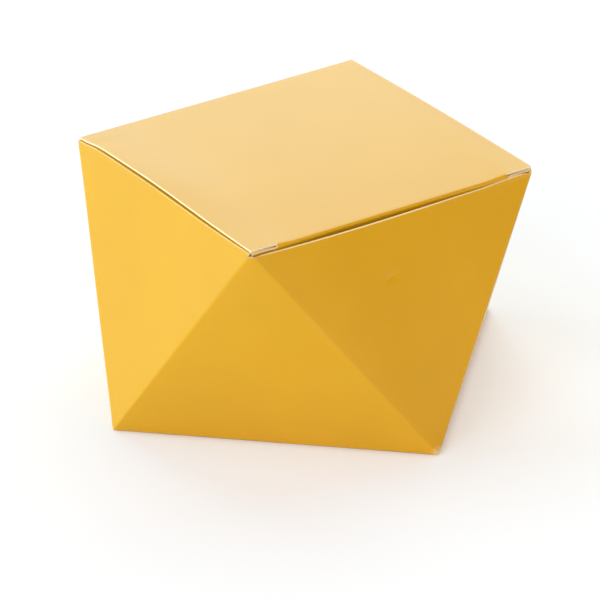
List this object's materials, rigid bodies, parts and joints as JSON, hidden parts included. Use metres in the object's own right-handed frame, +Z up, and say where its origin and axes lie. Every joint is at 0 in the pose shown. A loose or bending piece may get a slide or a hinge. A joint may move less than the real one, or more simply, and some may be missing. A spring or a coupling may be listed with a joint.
{
  "type": "paper packaging box",
  "caption": "Faceted folded card gift box: square base and top turned by 45 degrees to each other, triangular walls between them, and a hinged tuck-in lid.",
  "frame": {"origin": "middle of the base panel's underside", "axes": "+Z up, the lid's tuck fold faces -Y, its hinge crease is at +Y, so X runs along the hinge"},
  "size_m": [0.1122, 0.1122, 0.059],
  "materials": {
    "printed_card": "yellow printed card with a satin film outside, white raw edges and inside"
  },
  "bodies": {
    "box": {"body": "printed_card"},
    "lid": {"lid": "printed_card"}
  },
  "joints": [
    {"name": "lid_hinge", "type": "hinge", "parent": "box", "child": "lid", "pos_m": [0, 0.03963, 0.0586], "axis": [-1, 0, 0], "range_deg": [0, 135]}
  ]
}
